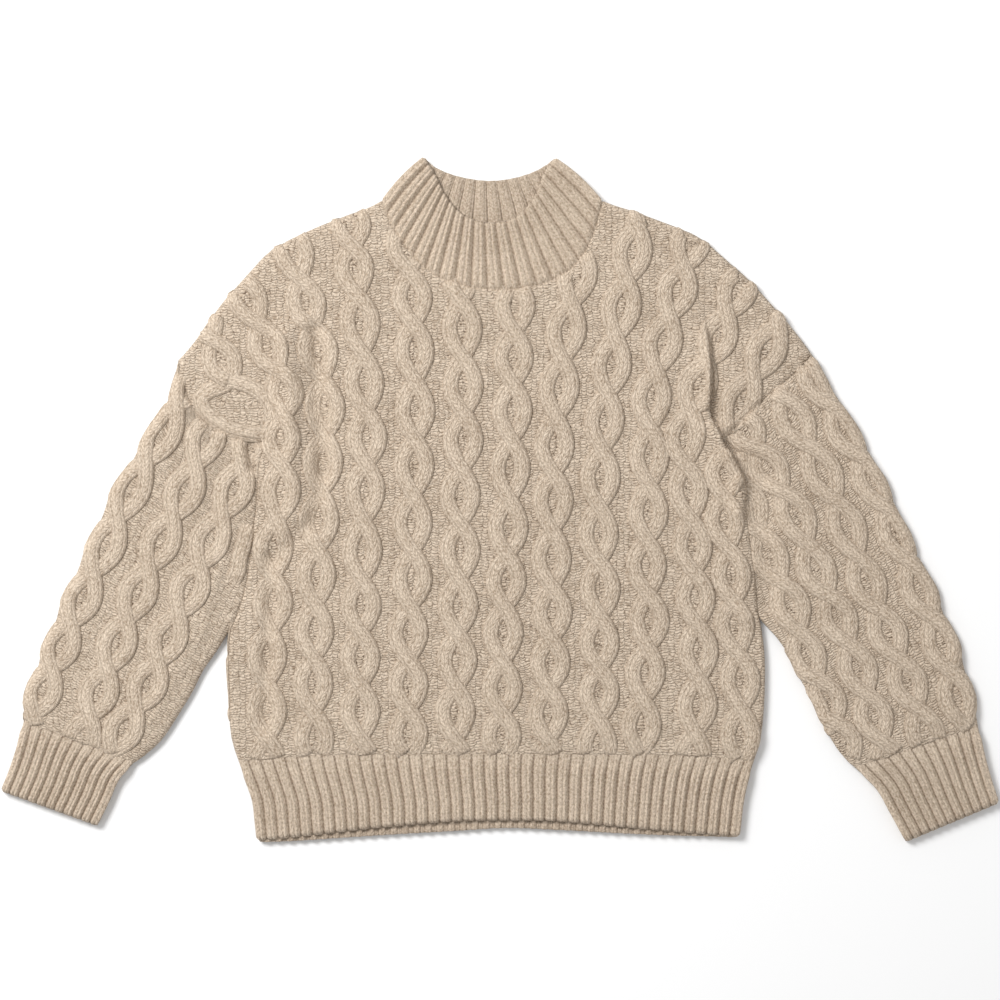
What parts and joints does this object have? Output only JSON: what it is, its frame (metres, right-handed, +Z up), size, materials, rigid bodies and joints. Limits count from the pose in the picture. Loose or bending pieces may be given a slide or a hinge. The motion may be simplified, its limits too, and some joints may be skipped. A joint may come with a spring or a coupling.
{
  "type": "cable knit sweater",
  "caption": "Chunky long-sleeved pullover in two-strand cable knit with a short ribbed neck, ribbed cuffs and hem, lying flat with its sleeves at its sides.",
  "frame": {"origin": "centre of the laid garment's outline, on the surface it lies on", "axes": "+X towards the sleeve on the right as seen from above, +Y from the hem towards the neck, +Z up from the surface through the back and then the front"},
  "size_m": [0.996, 0.685, 0.0208],
  "materials": {
    "cable_knit": "matte heathered oatmeal wool in a chunky two-strand cable knit on purl ground",
    "rib_knit": "the same matte heathered oatmeal wool in rib knit"
  },
  "bodies": {
    "root": {"body_front": "cable_knit", "body_back": "cable_knit", "sleeve_left": "cable_knit", "sleeve_right": "cable_knit", "cuff_left": "rib_knit", "cuff_right": "rib_knit", "hem_band": "rib_knit", "neckband": "rib_knit"}
  },
  "joints": []
}
